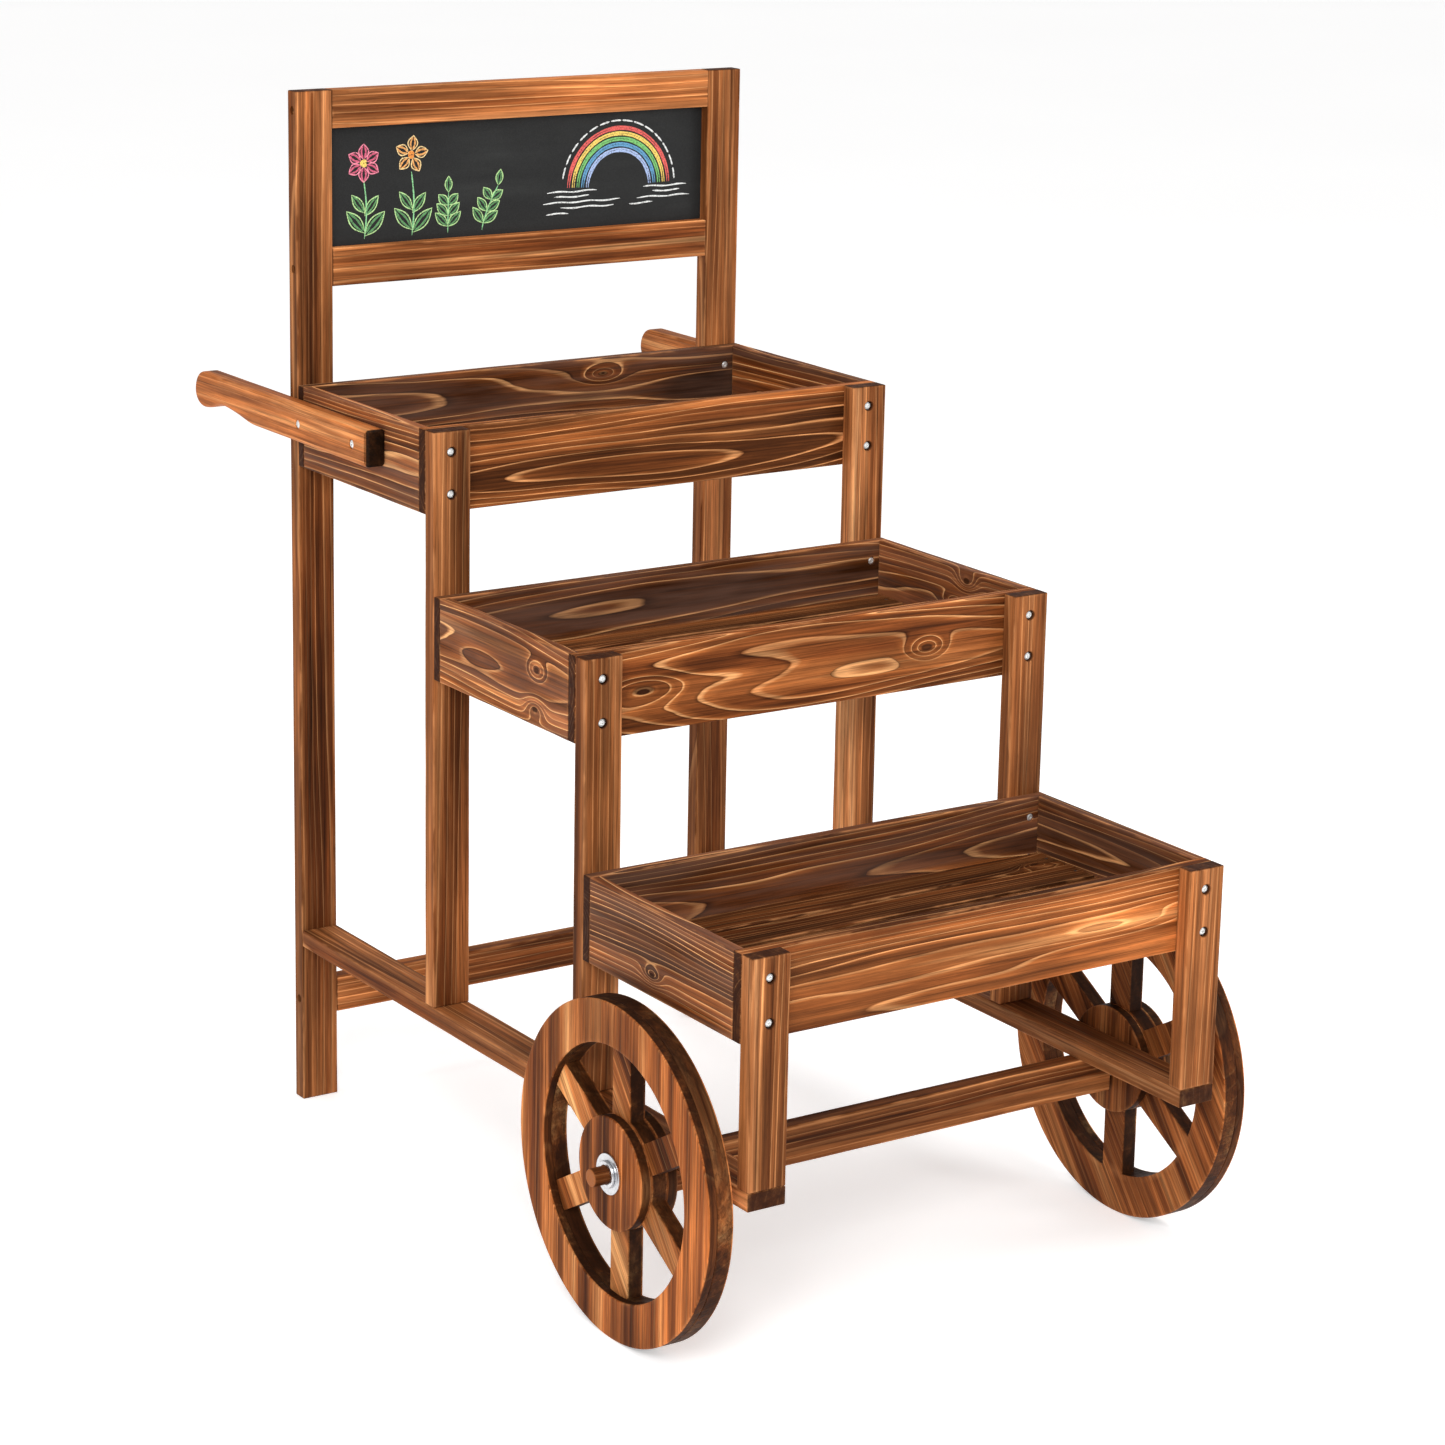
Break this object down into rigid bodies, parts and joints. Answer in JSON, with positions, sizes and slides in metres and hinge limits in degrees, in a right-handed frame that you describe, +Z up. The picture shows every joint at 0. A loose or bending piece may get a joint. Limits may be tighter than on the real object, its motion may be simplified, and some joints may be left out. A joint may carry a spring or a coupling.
{
  "type": "three-tier wooden push cart",
  "caption": "Wooden two-wheeled push display cart with stepped planter boxes, a chalkboard between its back posts, two side handles and spoked wooden wheels.",
  "frame": {"origin": "on the ground, at the middle of the cart's width and of its whole length from the front posts to the handle ends", "axes": "+X across the cart to its right as seen from the front looking back, -Y towards the front with the lowest box, +Z up"},
  "size_m": [0.68, 1.065, 1.1],
  "materials": {
    "frame_wood": "scorched and oiled softwood, dark streaked grain, satin",
    "box_wood": "scorched and oiled softwood boards, satin",
    "floor_wood": "scorched softwood, darker, matt",
    "wheel_wood": "scorched and oiled softwood, satin, sawn edges darker",
    "handle_wood": "scorched and oiled softwood, rounded and satin",
    "axle_wood": "dark stained turned wood with a paler sawn end",
    "chalkboard": "matt black blackboard paint with chalk marks",
    "zinc_screw": "bright zinc plate",
    "nail_steel": "plain bright steel",
    "bright_steel": "bright zinc plated washers and rings"
  },
  "bodies": {
    "root": {"back_post_left": "frame_wood", "back_post_right": "frame_wood", "board_top_rail": "frame_wood", "board_lower_rail": "frame_wood", "back_cross_rail": "frame_wood", "side_rail_left": "frame_wood", "side_rail_right": "frame_wood", "axle_beam": "frame_wood", "upper_front_post_left": "frame_wood", "upper_front_post_right": "frame_wood", "middle_front_post_left": "frame_wood", "middle_front_post_right": "frame_wood", "lower_front_post_left": "frame_wood", "lower_front_post_right": "frame_wood", "upper_back_board": "box_wood", "upper_front_board": "box_wood", "upper_side_board_left": "box_wood", "upper_side_board_right": "box_wood", "middle_back_board": "box_wood", "middle_front_board": "box_wood", "middle_side_board_left": "box_wood", "middle_side_board_right": "box_wood", "lower_back_board": "box_wood", "lower_front_board": "box_wood", "lower_side_board_left": "box_wood", "lower_side_board_right": "box_wood", "upper_floor_cleats": "floor_wood", "upper_floor_slats": "floor_wood", "middle_floor_cleats": "floor_wood", "middle_floor_slats": "floor_wood", "lower_floor_cleats": "floor_wood", "lower_floor_slats": "floor_wood", "chalkboard_panel": "chalkboard", "stub_axle_left": "axle_wood", "stub_axle_right": "axle_wood", "handle_left": "handle_wood", "handle_right": "handle_wood", "front_post_screws": "zinc_screw", "back_board_screws": "zinc_screw", "handle_screws": "zinc_screw", "frame_screws": "zinc_screw", "rail_end_screws": "zinc_screw", "rail_post_screws": "zinc_screw", "beam_screws": "zinc_screw", "box_nails": "nail_steel", "slat_nails": "nail_steel", "panel_tacks": "nail_steel", "outer_washers": "bright_steel", "inner_washers": "bright_steel", "retaining_rings": "bright_steel"},
    "left_wheel": {"wheel_left_spoked_panel": "wheel_wood", "wheel_left_face_ring": "wheel_wood", "wheel_left_outer_hub": "wheel_wood", "wheel_left_inner_hub": "wheel_wood"},
    "right_wheel": {"wheel_right_spoked_panel": "wheel_wood", "wheel_right_face_ring": "wheel_wood", "wheel_right_outer_hub": "wheel_wood", "wheel_right_inner_hub": "wheel_wood"}
  },
  "joints": [
    {"name": "left_wheel_spin", "type": "hinge", "parent": "root", "child": "left_wheel", "pos_m": [-0.296, -0.367, 0.166], "axis": [1, 0, 0], "continuous": true},
    {"name": "right_wheel_spin", "type": "hinge", "parent": "root", "child": "right_wheel", "pos_m": [0.296, -0.367, 0.166], "axis": [1, 0, 0], "continuous": true}
  ]
}
